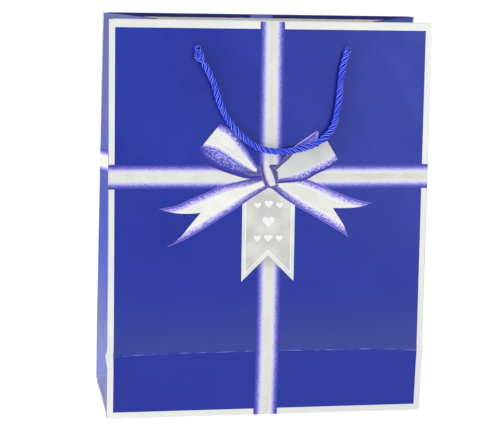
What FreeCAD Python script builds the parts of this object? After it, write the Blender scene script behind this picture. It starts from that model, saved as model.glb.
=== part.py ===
import FreeCAD, Part
import math
import os

from FreeCAD import Vector

# A paper gift bag with a flat tray base, V-folded side gussets and two rope handles.
# Millimetres. The origin is the centre of the base, +Z is up and the front faces -Y.

# Driving dimensions
BAG_WIDTH = 260.0
BAG_DEPTH = 100.0
SHEET_HEIGHT = 320.0      # from the base fold to the top fold, measured along the wall
PAPER = 0.4               # printed, laminated sheet
CARD = 0.8                # strip that stiffens the mouth, under the handle holes
BOARD = 1.0               # loose board in the base
WALL_LEAN = 5.0           # degrees each wall leans inwards above the crease
GUSSET_TUCK = 42.4        # how far a gusset's middle fold is pushed in at the mouth
HOLE_SPACING = 120.4
HOLE_DROP = 22.5          # from the top fold down to the holes' centres
HOLE_DIAMETER = 6.2
ROPE_DIAMETER = 5.2

# Fold and glue details
TURN_IN_HEIGHT = 50.0     # top of the sheet folded down inside
TURN_IN_INSET = 5.0       # kept clear of the side folds
CARD_HEIGHT = 45.0
GLUE_LAP_WIDTH = 16.0
GLUE_LAP_INSET = 2.0
FLAP_LENGTH = 65.0        # bottom flaps, so that the long ones overlap in the middle
BOARD_CLEARANCE = 4.0     # between the board's edges and the tray's folds
FOLD_GAP = 0.3            # between the pieces on the two sides of a fold that bends
GUSSET_EDGE_GAP = 2.5     # between a wall's side fold and the gusset sheet
MIDDLE_GAP = 0.25         # each side of a gusset's middle fold
GUSSET_SPANS = 5          # ruled spans up a gusset half
LAYER_GAP = 0.1

# Handle details
ROPE_STAND_OFF = 4.0      # rope centre in front of the wall's outer face at the holes
BALL_RADIUS = 3.0         # rope's bend at the hole, which the handle swings on
BALL_CLEARANCE = 0.15
KNOT_RING_RADIUS = 3.6
KNOT_LUMP_RADIUS = 4.2
KNOT_TAIL_LENGTH = 13.0
KNOT_TAIL_SPLAY = 33.0    # degrees from straight down

# The hanging handle: across, up the wall from the crease, and out from the wall's face
HANDLE_ROUTE = [
    (-60.2, 247.5, 4.0),
    (-56.0, 237.0, 4.0),
    (-47.5, 221.5, 4.2),
    (-43.0, 205.0, 4.6),
    (-36.0, 191.0, 5.0),
    (-23.5, 177.0, 5.5),
    (-9.0, 168.0, 6.0),
    (8.0, 166.3, 6.0),
    (24.5, 169.0, 6.0),
    (37.5, 173.5, 5.5),
    (50.0, 185.0, 5.0),
    (53.5, 204.5, 4.6),
    (54.8, 221.5, 4.2),
    (56.4, 236.5, 4.0),
    (60.2, 247.5, 4.0),
]

# Worked out
HALF_WIDTH = BAG_WIDTH / 2
HALF_DEPTH = BAG_DEPTH / 2
CREASE_HEIGHT = BAG_DEPTH / 2     # where the walls bend so that the bag can be folded flat
WALL_HEIGHT = SHEET_HEIGHT - CREASE_HEIGHT
LEAN = math.radians(WALL_LEAN)
FOLD_HALF_GAP = FOLD_GAP / 2
APEX_HEIGHT = CREASE_HEIGHT + math.sqrt(WALL_HEIGHT**2 - GUSSET_TUCK**2)
CARD_FACE = PAPER + CARD          # depth of the card's inner face behind the wall's face
WALL_STACK = CARD_FACE + PAPER    # depth of the turn-in's inner face
HOLE_HEIGHT = SHEET_HEIGHT - HOLE_DROP
ROPE_RADIUS = ROPE_DIAMETER / 2
ARC_SHARE = 0.45                  # of the shorter run at a bend, taken up by the arc

os.makedirs("parts", exist_ok=True)


def save(name, shape):
    solids = shape.Solids
    if not shape.isValid() or not solids:
        raise ValueError(f"{name} is not a valid solid")
    solid = solids[0] if len(solids) == 1 else Part.makeCompound(solids)
    solid.exportStep(f"parts/{name}.step")
    print(f"{name}: {len(solids)} solid, {solid.Volume / 1000:.3f} cm3")


def slab(x0, x1, y0, y1, z0, z1):
    return Part.makeBox(x1 - x0, y1 - y0, z1 - z0, Vector(x0, y0, z0))


def plate(outline, z0, z1):
    """A flat sheet with the given outline in plan."""
    wire = Part.makePolygon([Vector(x, y, z0) for x, y in outline + outline[:1]])
    return Part.Face(wire).extrude(Vector(0, 0, z1 - z0))


def mirrored_y(shape):
    return shape.mirror(Vector(0, 0, 0), Vector(0, 1, 0))


def mirrored_x(shape):
    return shape.mirror(Vector(0, 0, 0), Vector(1, 0, 0))


def leaned(shape):
    """Tips a front wall piece, made upright, inwards about the crease."""
    tipped = shape.copy()
    tipped.rotate(Vector(0, -HALF_DEPTH, CREASE_HEIGHT), Vector(1, 0, 0), -WALL_LEAN)
    return tipped


def holed(shape):
    """Cuts the two handle holes through a front wall piece, made upright."""
    for side in (-1, 1):
        start = Vector(side * HOLE_SPACING / 2, -HALF_DEPTH - PAPER, HOLE_HEIGHT)
        drill = Part.makeCylinder(HOLE_DIAMETER / 2, WALL_STACK + 2 * PAPER, start, Vector(0, 1, 0))
        shape = shape.cut(drill)
    return shape


# Tray: the four lower walls, the folded bottom and the glue lap's lower end

def lower_panel():
    return slab(-HALF_WIDTH, HALF_WIDTH, -HALF_DEPTH, -HALF_DEPTH + PAPER,
                0, CREASE_HEIGHT - FOLD_HALF_GAP)


def lower_gusset():
    inner = HALF_DEPTH - PAPER
    return slab(-HALF_WIDTH, -HALF_WIDTH + PAPER, -inner, inner,
                0, CREASE_HEIGHT - FOLD_HALF_GAP)


def long_flap(layer):
    """Front bottom flap: its ends are cut at 45 degrees by the fold pattern."""
    x = HALF_WIDTH - PAPER
    y = HALF_DEPTH - PAPER
    outline = [(-x, -y), (x, -y), (x - FLAP_LENGTH, -y + FLAP_LENGTH), (-x + FLAP_LENGTH, -y + FLAP_LENGTH)]
    return plate(outline, layer * PAPER, (layer + 1) * PAPER)


def end_flap(layer):
    x = HALF_WIDTH - PAPER
    y = HALF_DEPTH - PAPER
    return slab(-x, -x + FLAP_LENGTH, -y, y, layer * PAPER, (layer + 1) * PAPER)


def bottom_board(layer):
    x = HALF_WIDTH - BOARD_CLEARANCE
    y = HALF_DEPTH - BOARD_CLEARANCE
    z = layer * PAPER + LAYER_GAP
    return slab(-x, x, -y, y, z, z + BOARD)


def glue_lap(z0, z1):
    """Strip that joins the sheet's ends, on the front wall's inner face before it is mirrored."""
    x1 = HALF_WIDTH - GLUE_LAP_INSET
    y0 = -HALF_DEPTH + PAPER
    return slab(x1 - GLUE_LAP_WIDTH, x1, y0, y0 + PAPER, z0, z1)


# Front wall, made upright and then leaned

def upper_panel():
    panel = slab(-HALF_WIDTH, HALF_WIDTH, -HALF_DEPTH, -HALF_DEPTH + PAPER,
                 CREASE_HEIGHT + FOLD_HALF_GAP, SHEET_HEIGHT)
    return holed(panel)


def reinforcement_card():
    x = HALF_WIDTH - TURN_IN_INSET
    top = SHEET_HEIGHT - PAPER
    card = slab(-x, x, -HALF_DEPTH + PAPER, -HALF_DEPTH + CARD_FACE, top - CARD_HEIGHT, top)
    return holed(card)


def turn_in():
    """Top of the sheet folded down inside, over the card."""
    x = HALF_WIDTH - TURN_IN_INSET
    inside = slab(-x, x, -HALF_DEPTH + CARD_FACE, -HALF_DEPTH + WALL_STACK,
                  SHEET_HEIGHT - TURN_IN_HEIGHT, SHEET_HEIGHT)
    over = slab(-x, x, -HALF_DEPTH + PAPER, -HALF_DEPTH + CARD_FACE,
                SHEET_HEIGHT - PAPER, SHEET_HEIGHT)
    return holed(inside.fuse(over).removeSplitter())


def rope_knot(side):
    """One end of the rope: its bend in front of the hole, the stretch through the wall and the knot behind."""
    x = side * HOLE_SPACING / 2
    out = -HALF_DEPTH - ROPE_STAND_OFF
    ring_depth = -HALF_DEPTH + WALL_STACK + FOLD_GAP + ROPE_RADIUS
    lump_depth = ring_depth + ROPE_RADIUS
    bend = Part.makeSphere(BALL_RADIUS, Vector(x, out, HOLE_HEIGHT))
    stub = Part.makeCylinder(ROPE_RADIUS, lump_depth - out, Vector(x, out, HOLE_HEIGHT), Vector(0, 1, 0))
    ring = Part.makeTorus(KNOT_RING_RADIUS, ROPE_RADIUS, Vector(x, ring_depth, HOLE_HEIGHT), Vector(0, 1, 0))
    lump = Part.makeSphere(KNOT_LUMP_RADIUS, Vector(x, lump_depth, HOLE_HEIGHT))
    splay = math.radians(KNOT_TAIL_SPLAY)
    down = Vector(side * math.sin(splay), 0, -math.cos(splay))
    tail = Part.makeCylinder(ROPE_RADIUS, KNOT_TAIL_LENGTH, Vector(x, lump_depth, HOLE_HEIGHT), down)
    return bend.fuse([stub, ring, lump, tail])


# Gussets: each half is a twisted sheet from a wall's side fold to the gusset's middle fold

def gusset_section(up, start, end_gap, depth):
    """Four corners of a front left half's section, at a distance up the wall's side fold."""
    share = up / WALL_HEIGHT
    fold = Vector(-HALF_WIDTH, -HALF_DEPTH + up * math.sin(LEAN), CREASE_HEIGHT + up * math.cos(LEAN))
    middle = Vector(-HALF_WIDTH + GUSSET_TUCK * share, 0, CREASE_HEIGHT + (APEX_HEIGHT - CREASE_HEIGHT) * share)
    along = (middle - fold).normalize()
    inward = Vector(along.y, -along.x, 0).normalize()
    near = fold + along * start + inward * depth
    far = middle - along * end_gap + inward * depth
    corners = [near, far, far + inward * PAPER, near + inward * PAPER]
    return Part.makePolygon(corners + corners[:1])


def gusset_sheet(low, high, spans, start, end_gap, depth):
    """Ruled from section to section, so that the twisted sheet keeps its thickness."""
    heights = [low + (high - low) * i / spans for i in range(spans + 1)]
    sections = [gusset_section(up, start, end_gap, depth) for up in heights]
    return Part.makeLoft(sections, True, True)


def gusset_half():
    return gusset_sheet(FOLD_HALF_GAP, WALL_HEIGHT, GUSSET_SPANS, GUSSET_EDGE_GAP, MIDDLE_GAP, 0)


def gusset_turn_in():
    return gusset_sheet(WALL_HEIGHT - TURN_IN_HEIGHT, WALL_HEIGHT - PAPER, 1,
                        TURN_IN_INSET + 2 * PAPER, 2 * PAPER, PAPER + LAYER_GAP)


# Handles

def handle_points():
    return [Vector(x, -HALF_DEPTH - out, CREASE_HEIGHT + up) for x, up, out in HANDLE_ROUTE]


def rope_tube(points, name):
    """Round tube along straight runs joined by tangent arcs. It starts and ends just clear of the bends at the holes."""
    clear = BALL_RADIUS + BALL_CLEARANCE
    points = list(points)
    points[0] = points[0] + (points[1] - points[0]).normalize() * clear
    points[-1] = points[-1] + (points[-2] - points[-1]).normalize() * clear
    edges = []
    radii = []
    length = 0.0
    here = points[0]
    for before, corner, after in zip(points, points[1:], points[2:]):
        arrive = (corner - before).normalize()
        leave = (after - corner).normalize()
        turn = arrive.getAngle(leave)
        tangent = ARC_SHARE * min((corner - before).Length, (after - corner).Length)
        radius = tangent / math.tan(turn / 2)
        start = corner - arrive * tangent
        end = corner + leave * tangent
        towards_centre = (leave - arrive).normalize()
        middle = corner + towards_centre * (radius / math.cos(turn / 2) - radius)
        edges.append(Part.LineSegment(here, start).toShape())
        edges.append(Part.Arc(start, middle, end).toShape())
        length += (start - here).Length + radius * turn
        radii.append(radius)
        here = end
    edges.append(Part.LineSegment(here, points[-1]).toShape())
    length += (points[-1] - here).Length
    path = Part.Wire(edges)
    circle = Part.makeCircle(ROPE_RADIUS, points[0], points[1] - points[0])
    tube = path.makePipeShell([Part.Wire(circle)], True, True)
    expected = math.pi * ROPE_RADIUS**2 * length
    print(f"{name}: {length:.1f} mm, volume {tube.Volume:.0f} of {expected:.0f} mm3,",
          "radii", [round(r) for r in radii])
    return tube


def build():
    save("front_panel_lower", lower_panel())
    save("rear_panel_lower", mirrored_y(lower_panel()))
    save("left_gusset_lower", lower_gusset())
    save("right_gusset_lower", mirrored_x(lower_gusset()))
    save("bottom_flap_front", long_flap(0))
    save("bottom_flap_rear", mirrored_y(long_flap(1)))
    save("bottom_flap_left", end_flap(2))
    save("bottom_flap_right", mirrored_x(end_flap(2)))
    save("bottom_board", bottom_board(3))
    lap_top = SHEET_HEIGHT - TURN_IN_HEIGHT - FOLD_GAP
    save("glue_lap_lower", mirrored_y(glue_lap(3 * PAPER, CREASE_HEIGHT - FOLD_HALF_GAP)))
    save("glue_lap_upper", mirrored_y(leaned(glue_lap(CREASE_HEIGHT + FOLD_HALF_GAP, lap_top))))

    for wall, placed in (("front", lambda shape: shape), ("rear", mirrored_y)):
        save(f"{wall}_panel_upper", placed(leaned(upper_panel())))
        save(f"{wall}_reinforcement_card", placed(leaned(reinforcement_card())))
        save(f"{wall}_turn_in", placed(leaned(turn_in())))
        save(f"{wall}_left_knot", placed(leaned(rope_knot(-1))))
        save(f"{wall}_right_knot", placed(leaned(rope_knot(1))))
        save(f"left_gusset_{wall}_half", placed(gusset_half()))
        save(f"left_gusset_{wall}_turn_in", placed(gusset_turn_in()))
        save(f"right_gusset_{wall}_half", mirrored_x(placed(gusset_half())))
        save(f"right_gusset_{wall}_turn_in", mirrored_x(placed(gusset_turn_in())))

    front_rope = leaned(rope_tube(handle_points(), "front rope"))
    save("front_handle_rope", front_rope)
    save("rear_handle_rope", mirrored_x(mirrored_y(front_rope)))


build()
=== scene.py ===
import math

import bpy
import numpy as np
from mathutils import Matrix, Vector, noise


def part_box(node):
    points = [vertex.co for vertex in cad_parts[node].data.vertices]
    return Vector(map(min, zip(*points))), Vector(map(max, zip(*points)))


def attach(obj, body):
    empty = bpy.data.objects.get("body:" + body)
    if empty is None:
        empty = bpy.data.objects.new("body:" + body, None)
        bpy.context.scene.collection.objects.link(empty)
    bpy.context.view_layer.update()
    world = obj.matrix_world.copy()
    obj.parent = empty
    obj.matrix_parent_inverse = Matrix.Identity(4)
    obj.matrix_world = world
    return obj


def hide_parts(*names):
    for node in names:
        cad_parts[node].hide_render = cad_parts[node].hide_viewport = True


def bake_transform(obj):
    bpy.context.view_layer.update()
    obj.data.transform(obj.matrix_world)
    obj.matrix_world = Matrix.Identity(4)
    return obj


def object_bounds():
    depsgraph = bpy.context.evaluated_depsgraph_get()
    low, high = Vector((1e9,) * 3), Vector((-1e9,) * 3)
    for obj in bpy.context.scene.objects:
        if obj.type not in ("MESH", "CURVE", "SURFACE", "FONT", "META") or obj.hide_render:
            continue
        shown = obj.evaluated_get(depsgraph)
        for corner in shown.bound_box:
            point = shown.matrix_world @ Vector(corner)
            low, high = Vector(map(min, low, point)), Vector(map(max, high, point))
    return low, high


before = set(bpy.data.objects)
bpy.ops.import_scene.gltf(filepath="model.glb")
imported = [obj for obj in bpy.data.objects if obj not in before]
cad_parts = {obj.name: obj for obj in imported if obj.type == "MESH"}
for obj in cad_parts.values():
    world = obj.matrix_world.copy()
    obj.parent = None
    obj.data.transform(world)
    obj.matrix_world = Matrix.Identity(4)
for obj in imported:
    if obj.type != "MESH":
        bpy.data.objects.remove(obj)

# A paper gift bag: printed sheet, rope handles and their knots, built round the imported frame.
# Lengths are metres. Wall coordinates are x across the wall, up along it from the crease
# (negative in the tray) and out from its outer face.

MM = 0.001
CAD_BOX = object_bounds()

# The bag's own sizes, read from the frame
TRAY_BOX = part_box("front_panel_lower")
WALL_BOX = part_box("front_panel_upper")
PAPER = TRAY_BOX[1].y - TRAY_BOX[0].y
HALF_W = TRAY_BOX[1].x
HALF_D = -TRAY_BOX[0].y
CREASE = HALF_D
WALL_RISE = WALL_BOX[1].z - CREASE
WALL_RUN = WALL_BOX[1].y + HALF_D - PAPER
LEAN = math.atan2(WALL_RUN, WALL_RISE)
WALL_H = math.hypot(WALL_RUN, WALL_RISE)
TURN_IN_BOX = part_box("front_turn_in")
STACK = 4 * PAPER                              # sheet, card as thick as two sheets, and turn-in
TURN_IN_H = (TURN_IN_BOX[1].z - TURN_IN_BOX[0].z) / math.cos(LEAN)
GUSSET_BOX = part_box("left_gusset_front_half")
TUCK = GUSSET_BOX[1].x + HALF_W
APEX_RISE = math.sqrt(WALL_H ** 2 - TUCK ** 2)

# The handle holes
HOLE_DROP = 22.5 * MM     # from the top fold down to their centres
HOLE_UP = WALL_H - HOLE_DROP
HOLE_X = 60.2 * MM        # from the wall's middle
HOLE_RADIUS = 3.1 * MM

# Print layers stand a hair proud of the sheet, in this order
LAYER = 0.06 * MM
PRINT_THICKNESS = 0.04 * MM
BORDER_LAYER, UPRIGHT_LAYER, LEVEL_LAYER, TAG_LAYER = 1, 2, 3, 4

FRONT, REAR = 1, -1


# ---- shapes of the folded sheet

def smooth(t):
    t = min(max(t, 0.0), 1.0)
    return t * t * (3 - 2 * t)


# Small bends at the corner folds. Keys are the hand, -1 on the left and 1 on the right, or the side and the hand
KINK_UP = 2.5 * MM        # a front corner fold flares where the crease meets it
KINK = {-1: 1.8 * MM, 1: 0.8 * MM}
KINK_ABOVE = 6 * MM       # how far up and down the fold the flare fades out
KINK_BELOW = 10 * MM
FOOT = {(FRONT, -1): 3.0 * MM, (FRONT, 1): 1.5 * MM, (REAR, -1): 2.5 * MM, (REAR, 1): 2.5 * MM}
CORNER = 7 * MM           # how far along a panel its corner's bends reach

# The fold lines of the tray's sides
FACET_TOP = 37 * MM       # where the first one meets the front fold
FACET_FOOT = 4 * MM       # and how far up the rear corner it ends
FACET_LOW = 29 * MM       # where the second one, from the middle of the base, meets the front fold

# The walls' relief
CREASE_BOW = 4.0 * MM     # how far over the fold the visible crease is at its middle
CREASE_DROOP = 2.2 * MM   # and how much lower it is at its ends
CREASE_REACH = HALF_W - 5 * MM
RIDGE = 0.18 * MM
RIDGE_WIDTH = 0.9 * MM
WALL_BOW = 1.1 * MM
WALL_WAVE = 0.7 * MM
TRAY_WAVE = 0.35 * MM
EDGE_EASE = 30 * MM       # from a side fold to where the waves are at their full size
GUSSET_BULGE = 1.6 * MM   # how far a gusset half bulges inwards at the mouth


def edge_shift(side, hand, up):
    """How far a corner fold stands out sideways: a front one flares at the crease, and each foot is bent in."""
    above = up - KINK_UP
    fade = KINK_ABOVE if above > 0 else KINK_BELOW
    flare = KINK[hand] * max(0.0, 1 - abs(above) / fade) if side == FRONT else 0.0
    return flare - max(0.0, FOOT[side, hand] - (up + CREASE))


def crease_up(x):
    """The visible crease bows upwards between the side folds."""
    return CREASE_BOW - CREASE_DROOP * (abs(x) / CREASE_REACH) ** 4


def slack_waves(side, x, up):
    coarse = noise.noise(Vector((x * 9, up * 11, side * 3.7)))
    return coarse + 0.25 * noise.noise(Vector((x * 26, up * 22, side * 8.1)))


def relief(side, x, up):
    """How far the sheet stands out from a flat wall: a slight bow, slack waves and the crease's ridge."""
    from_edge = smooth((HALF_W - abs(x)) / EDGE_EASE)
    ridge = RIDGE * math.exp(-((up - crease_up(x)) / RIDGE_WIDTH) ** 2)
    wave = slack_waves(side, x, up)
    if up < 0:
        share = smooth(-up / (12 * MM)) * smooth((up + HALF_D) / (14 * MM))
        return ridge + TRAY_WAVE * wave * share * from_edge
    bow = WALL_BOW * (1 - (x / HALF_W) ** 2) * math.sin(math.pi * up / WALL_H)
    share = smooth(up / (15 * MM)) * smooth((WALL_H - up) / (45 * MM))
    return ridge + bow + WALL_WAVE * wave * share * from_edge


def wall_point(side, x, up, out=0.0):
    """A point on or off a wall. The rear wall is the front one turned half round."""
    hand = -1 if x < 0 else 1
    x += hand * edge_shift(side, hand, up) * smooth((abs(x) - (HALF_W - CORNER)) / CORNER)
    if up < 0:
        y, z = -HALF_D - out, CREASE + up
    else:
        y = -HALF_D + up * math.sin(LEAN) - out * math.cos(LEAN)
        z = CREASE + up * math.cos(LEAN) + out * math.sin(LEAN)
    return Vector((side * x, side * y, z))


def print_point(side, x, up, layer):
    return wall_point(side, x, up, relief(side, x, up) + layer * LAYER)


def gusset_point(hand, side, across, up, depth=0.0):
    """A point of a gusset half: across 0 at the wall's side fold and 1 at the middle fold. Depth is inwards.
    hand is -1 on the left and 1 on the right; side is 1 for the half on the front wall."""
    run = max(up, 0.0)
    share = run / WALL_H
    fold = Vector((-HALF_W, -HALF_D + run * math.sin(LEAN), CREASE + (run * math.cos(LEAN) if up > 0 else up)))
    middle = Vector((-HALF_W + TUCK * share, 0, CREASE + (APEX_RISE * share if up > 0 else up)))
    along = middle - fold
    inward = Vector((along.y, -along.x, 0)).normalized()
    bulge = GUSSET_BULGE * share * math.sin(math.pi * across)
    point = fold + along * across + inward * (depth + bulge)
    point.x -= edge_shift(side, hand, up) * smooth(1 - across * 7)
    return Vector((-hand * point.x, side * point.y, point.z))


# ---- meshes

def link(name, mesh):
    obj = bpy.data.objects.new(name, mesh)
    bpy.context.scene.collection.objects.link(obj)
    return obj


def spread(*stops):
    """Evenly stepped values: stops are (value, steps to the next value), and the last is a value."""
    values = []
    for (start, steps), after in zip(stops[:-1], stops[1:]):
        end = after[0] if isinstance(after, tuple) else after
        values += [start + (end - start) * i / steps for i in range(steps)]
    return values + [stops[-1]]


def normals_of(grid):
    across = np.gradient(grid, axis=1)
    along = np.gradient(grid, axis=0)
    normal = np.cross(across, along)
    return normal / np.linalg.norm(normal, axis=2, keepdims=True)


def slab_parts(grid, uvs, thickness):
    """Vertices, faces, face materials and UVs of a closed slab under a grid of points.
    Seen from outside, columns run to the right and rows run up."""
    rows, columns = grid.shape[:2]
    count = rows * columns
    inner = grid - normals_of(grid) * thickness
    vertices = np.vstack([grid.reshape(-1, 3), inner.reshape(-1, 3)])
    index = np.arange(count).reshape(rows, columns)
    faces, kinds = [], []
    for r in range(rows - 1):
        for c in range(columns - 1):
            quad = [index[r, c], index[r, c + 1], index[r + 1, c + 1], index[r + 1, c]]
            faces.append(quad)
            faces.append([i + count for i in reversed(quad)])
            kinds += [0, 1]
    edge = list(index[0, :]) + list(index[1:, -1]) + list(index[-1, -2::-1]) + list(index[-2:0:-1, 0])
    for a, b in zip(edge, edge[1:] + edge[:1]):
        faces.append([b, a, a + count, b + count])
        kinds.append(2)
    flat = np.vstack([uvs.reshape(-1, 2), uvs.reshape(-1, 2)])
    return vertices, faces, kinds, flat


def mesh_object(name, vertices, faces, uvs, materials, kinds=None, rounded=None):
    """uvs are one for each vertex. kinds are the faces' material numbers, and rounded says which of them are
    shaded smooth."""
    mesh = bpy.data.meshes.new(name)
    mesh.from_pydata([tuple(v) for v in vertices], [], [tuple(int(i) for i in face) for face in faces])
    loops = np.zeros(len(mesh.loops), int)
    mesh.loops.foreach_get("vertex_index", loops)
    layer = mesh.uv_layers.new(name="flat")
    layer.data.foreach_set("uv", np.array(uvs, float)[loops].astype(np.float32).ravel())
    for m in materials:
        mesh.materials.append(m)
    if kinds is not None:
        mesh.polygons.foreach_set("material_index", kinds)
    if rounded is not None:
        mesh.polygons.foreach_set("use_smooth", rounded)
    mesh.update()
    return link(name, mesh)


SHARP_ANGLE = math.radians(35)


def slab(name, grids, thickness, materials):
    """One object from one or more grids of (point, uv). materials: outer face, inner face and rim."""
    vertices, faces, kinds, uvs = [], [], [], []
    for grid, uv in grids:
        v, f, k, flat = slab_parts(np.array(grid, float), np.array(uv, float), thickness)
        offset = sum(len(part) for part in vertices)
        vertices.append(v)
        uvs.append(flat)
        faces += [[i + offset for i in face] for face in f]
        kinds += k
    slots = [min(k, len(materials) - 1) for k in kinds]
    obj = mesh_object(name, np.vstack(vertices), faces, np.vstack(uvs), materials, slots, [True] * len(faces))
    obj.data.set_sharp_from_angle(angle=SHARP_ANGLE)
    return obj


def stand_for(obj, slot, body, *nodes):
    """Hides the CAD nodes that a piece replaces and attaches it to the body that it rides on, unless it bends.
    slot is not used.
    """
    if nodes:
        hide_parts(*nodes)
    if body:
        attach(obj, body)


def wall_grid(side, xs, ups, layer):
    points = [[print_point(side, x, up, layer) for x in xs] for up in ups]
    uvs = [[(x, up) for x in xs] for up in ups]
    return points, uvs


def apply_modifiers(obj):
    evaluated = obj.evaluated_get(bpy.context.evaluated_depsgraph_get())
    mesh = bpy.data.meshes.new_from_object(evaluated)
    obj.modifiers.clear()
    obj.data = mesh


def punch(obj, side):
    """Cuts the two handle holes through a wall's sheet."""
    for x in (-HOLE_X, HOLE_X):
        outside = wall_point(side, x, HOLE_UP, 6 * MM)
        inside = wall_point(side, x, HOLE_UP, -6 * MM)
        through = inside - outside
        bpy.ops.mesh.primitive_cylinder_add(vertices=40, radius=HOLE_RADIUS, depth=through.length,
                                            location=(outside + inside) / 2)
        drill = bpy.context.object
        drill.rotation_euler = through.to_track_quat("Z", "Y").to_euler()
        cut = obj.modifiers.new("hole", "BOOLEAN")
        cut.object = drill
        cut.operation = "DIFFERENCE"
        cut.solver = "EXACT"
        bpy.context.view_layer.update()
        apply_modifiers(obj)
        bpy.data.objects.remove(drill)


# ---- materials

class Shader:
    """A procedural material built node by node."""

    def __init__(self, name, **sockets):
        self.material = bpy.data.materials.new(name)
        self.material.use_nodes = True
        self.nodes = self.material.node_tree.nodes
        self.links = self.material.node_tree.links
        self.bsdf = self.nodes["Principled BSDF"]
        for socket, value in sockets.items():
            self.bsdf.inputs[socket.replace("_", " ")].default_value = value

    def put(self, node, socket, value):
        if isinstance(value, bpy.types.NodeSocket):
            self.links.new(value, node.inputs[socket])
        else:
            node.inputs[socket].default_value = value

    def add(self, kind, inputs, output=0, **settings):
        """A new node's output, with its settings and then its inputs filled in."""
        node = self.nodes.new("ShaderNode" + kind)
        for setting, value in settings.items():
            setattr(node, setting, value)
        for socket, value in inputs.items():
            self.put(node, socket, value)
        return node.outputs[output]

    def flat(self):
        return self.add("UVMap", {}, "UV", uv_map="flat")

    def place(self):
        return self.add("TexCoord", {}, "Object")

    def parts(self, vector):
        x = self.add("SeparateXYZ", {0: vector})
        return x, x.node.outputs[1]

    def scaled(self, vector, x, y):
        return self.add("Mapping", {"Vector": vector, "Scale": (x, y, 1)})

    def noise(self, vector, scale, detail=2.0, distortion=0.0):
        inputs = {"Vector": vector, "Scale": scale, "Detail": detail, "Distortion": distortion}
        return self.add("TexNoise", inputs, "Fac")

    def cells(self, vector, scale):
        """One number for each small cell of space."""
        return self.parts(self.add("TexVoronoi", {"Vector": vector, "Scale": scale}, "Color"))[0]

    def math(self, operation, a, b=0.0):
        return self.add("Math", {0: a, 1: b}, operation=operation)

    def plus(self, a, b):
        return self.math("ADD", a, b)

    def minus(self, a, b):
        return self.math("SUBTRACT", a, b)

    def times(self, a, b):
        return self.math("MULTIPLY", a, b)

    def size(self, a):
        return self.math("ABSOLUTE", a)

    def span(self, value, low, high, start=0.0, end=1.0):
        """value taken from low..high to start..end, eased and clamped."""
        inputs = {"Value": value, "From Min": low, "From Max": high, "To Min": start, "To Max": end}
        return self.add("MapRange", inputs, "Result", interpolation_type="SMOOTHSTEP")

    def mix(self, share, a, b):
        result = self.add("Mix", {"Factor": share, "A": a, "B": b}, data_type="RGBA")
        return [o for o in result.node.outputs if o.type == "RGBA"][0]

    def ramp(self, value, stops):
        """The colour at value, between stops of (value, colour)."""
        result = self.add("ValToRGB", {0: value})
        elements = result.node.color_ramp.elements
        while len(elements) < len(stops):
            elements.new(0.5)
        for element, (position, colour) in zip(elements, stops):
            element.position = position
            element.color = colour
        return result

    def bump(self, height, distance, strength=1.0):
        inputs = {"Height": height, "Distance": distance, "Strength": strength}
        self.put(self.bsdf, "Normal", self.add("Bump", inputs))

    def colour(self, value):
        self.put(self.bsdf, "Base Color", value)

    def roughness(self, value):
        self.put(self.bsdf, "Roughness", value)


def rgb(red, green, blue):
    """A display colour, 0 to 255, as the linear colour that shaders take."""
    values = [c / 255 for c in (red, green, blue)]
    return [v / 12.92 if v <= 0.04045 else ((v + 0.055) / 1.055) ** 2.4 for v in values] + [1.0]


BLUE = rgb(15, 42, 157)
CREASE_SHEEN_BLUE = rgb(46, 58, 142)
BLUE_DEEP = rgb(6, 30, 144)
BLUE_LIGHT = rgb(112, 122, 214)
SILVER = rgb(216, 218, 211)


def blue_print_and_sheen():
    """Laminated royal blue print, a little greyer just above the crease as painted sheen, where the wall leans
    back.
    The crease itself shows as a thin broken light line.
    """
    s = Shader("blue_print_and_sheen", Roughness=0.34, Specular_IOR_Level=0.36)
    flat = s.flat()
    x, up = s.parts(flat)
    cloud = s.times(s.span(s.noise(flat, 14, 3), 0.3, 0.7), s.span(up, -40 * MM, 190 * MM, 0.3, 1.0))
    colour = s.mix(cloud, BLUE_DEEP, BLUE)
    fall = s.math("POWER", s.math("DIVIDE", s.size(x), CREASE_REACH), 4)
    above = s.plus(s.minus(up, CREASE_BOW), s.times(fall, CREASE_DROOP))
    # Painted sheen: the blue turns greyer just above the crease and fades back out further up.
    fade = s.span(s.plus(above, s.times(s.noise(flat, 20, 2), 30 * MM)), 5 * MM, 75 * MM, 0.85, 0.0)
    colour = s.mix(s.times(s.span(above, 0.0, 1.2 * MM), fade), colour, CREASE_SHEEN_BLUE)
    wander = s.times(s.minus(s.noise(s.scaled(flat, 30, 0), 1, 2), 0.5), 1.6 * MM)
    line = s.span(s.size(s.plus(above, wander)), 0.1 * MM, 0.5 * MM, 1.0, 0.0)
    broken = s.span(s.noise(s.scaled(flat, 70, 0), 1, 3), 0.44, 0.6, 0.12, 0.9)
    s.colour(s.mix(s.times(line, broken), colour, BLUE_LIGHT))
    s.roughness(s.span(s.noise(flat, 55, 4), 0.25, 0.75, 0.3, 0.4))
    s.bump(s.noise(flat, 900, 3), 0.02 * MM, 0.5)
    return s.material


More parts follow.
